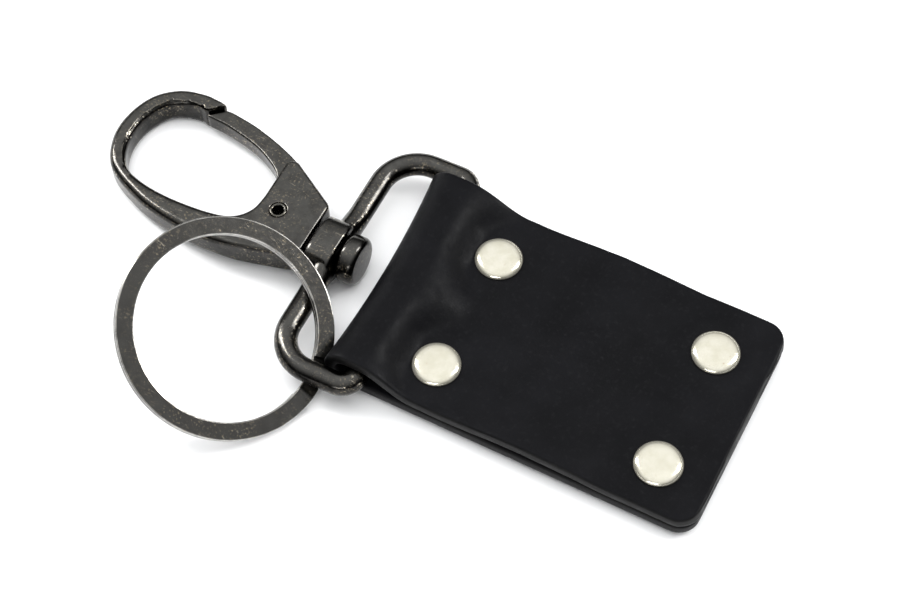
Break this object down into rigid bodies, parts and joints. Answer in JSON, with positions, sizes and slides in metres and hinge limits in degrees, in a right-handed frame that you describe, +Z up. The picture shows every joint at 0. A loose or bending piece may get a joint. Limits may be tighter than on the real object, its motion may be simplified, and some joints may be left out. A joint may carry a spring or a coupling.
{
  "type": "snap-hook key holder",
  "caption": "Short folded leather tab riveted round an oblong metal loop that carries a swivelling push-gate snap hook and a split ring for keys.",
  "frame": {"origin": "middle of the bounding box in plan, on the floor that the object lies on", "axes": "+X along the strap towards its free end, +Y across the strap, +Z up out of the strap's face"},
  "size_m": [0.1136, 0.0628, 0.0188],
  "materials": {
    "black_leather": "smooth black, fine grain",
    "antique_gunmetal": "antique gunmetal plating, worn at the edges",
    "pale_nickel": "polished pale plating",
    "spring_steel": "plain"
  },
  "bodies": {
    "tab": {"leather_strap": "black_leather", "rivet_cap_1": "pale_nickel", "rivet_socket_1": "spring_steel", "rivet_post_1": "spring_steel", "rivet_base_1": "pale_nickel", "rivet_cap_2": "pale_nickel", "rivet_socket_2": "spring_steel", "rivet_post_2": "spring_steel", "rivet_base_2": "pale_nickel", "rivet_cap_3": "pale_nickel", "rivet_socket_3": "spring_steel", "rivet_post_3": "spring_steel", "rivet_base_3": "pale_nickel", "rivet_cap_4": "pale_nickel", "rivet_socket_4": "spring_steel", "rivet_post_4": "spring_steel", "rivet_base_4": "pale_nickel"},
    "loop": {"swivel_loop": "antique_gunmetal"},
    "hook": {"hook_body": "antique_gunmetal", "swivel_pin": "antique_gunmetal", "gate_pin": "antique_gunmetal", "gate_spring": "spring_steel"},
    "gate": {"gate": "antique_gunmetal"},
    "key_ring": {"split_ring": "antique_gunmetal"}
  },
  "joints": [
    {"name": "loop_swing", "type": "hinge", "parent": "tab", "child": "loop", "pos_m": [0.00064, 0.00834, 0.00507], "axis": [0, 1, 0], "range_deg": [-90, 100]},
    {"name": "hook_swivel", "type": "hinge", "parent": "loop", "child": "hook", "pos_m": [-0.01739, 0.00804, 0.00427], "axis": [0.999, 0, 0.0443], "continuous": true},
    {"name": "gate_pivot", "type": "hinge", "parent": "hook", "child": "gate", "pos_m": [-0.02438, 0.00989, 0.00396], "axis": [-0.0443, 0, 0.999], "range_deg": [0, 24], "stiffness_Nm_per_rad": 0.02, "springref_deg": -28.65, "deforming": ["gate_spring"]},
    {"name": "ring_swing", "type": "hinge", "parent": "loop", "child": "key_ring", "pos_m": [-0.0062, -0.01291, 0.00477], "axis": [0.999, 0, 0.0443], "range_deg": [0, 45]}
  ]
}
